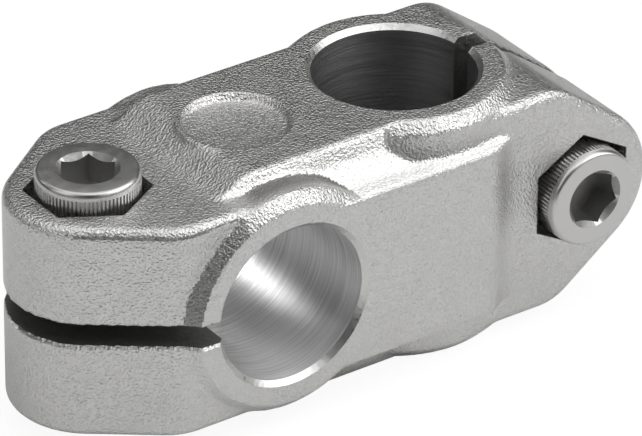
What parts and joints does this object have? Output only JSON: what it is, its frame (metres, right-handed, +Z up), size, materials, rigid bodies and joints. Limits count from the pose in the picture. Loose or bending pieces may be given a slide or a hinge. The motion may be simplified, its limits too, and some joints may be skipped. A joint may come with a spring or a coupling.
{
  "type": "tube connector",
  "caption": "Cast cross connector that clamps a level tube and an upright tube at right angles, side by side, each split clamp closed by a socket head cap screw and a nut.",
  "frame": {"origin": "midway between the two bore axes, on the middle plane of both clamps", "axes": "+X from the level clamp to the upright clamp, +Y along the level bore away from the upright clamp's screw head, +Z up along the upright bore"},
  "size_m": [0.0652, 0.0263, 0.0263],
  "materials": {
    "cast_steel": "shot-blasted casting, matt and slightly grainy, with turned bores",
    "screw_steel": "smooth, slightly glossy stainless steel"
  },
  "bodies": {
    "casting": {"connector_body": "cast_steel"},
    "level_screw": {"level_clamp_screw": "screw_steel"},
    "level_nut": {"level_clamp_nut": "screw_steel"},
    "upright_screw": {"upright_clamp_screw": "screw_steel"},
    "upright_nut": {"upright_clamp_nut": "screw_steel"}
  },
  "joints": [
    {"name": "level_screw_turn", "type": "hinge", "parent": "casting", "child": "level_screw", "pos_m": [-0.0246, 0, 0], "axis": [0, 0, 1], "range_deg": [0, 1080]},
    {"name": "level_nut_slide", "type": "slide", "parent": "casting", "child": "level_nut", "axis": [0, 0, -1], "range_m": [0, 0.003]},
    {"name": "upright_screw_turn", "type": "hinge", "parent": "casting", "child": "upright_screw", "pos_m": [0.0246, 0, 0], "axis": [0, -1, 0], "range_deg": [0, 1080]},
    {"name": "upright_nut_slide", "type": "slide", "parent": "casting", "child": "upright_nut", "axis": [0, 1, 0], "range_m": [0, 0.003]}
  ],
  "couplings": [
    {"joint": "level_screw_turn", "follows": "level_nut_slide", "rad_per_m": 6283.1},
    {"joint": "upright_screw_turn", "follows": "upright_nut_slide", "rad_per_m": 6283.1}
  ]
}
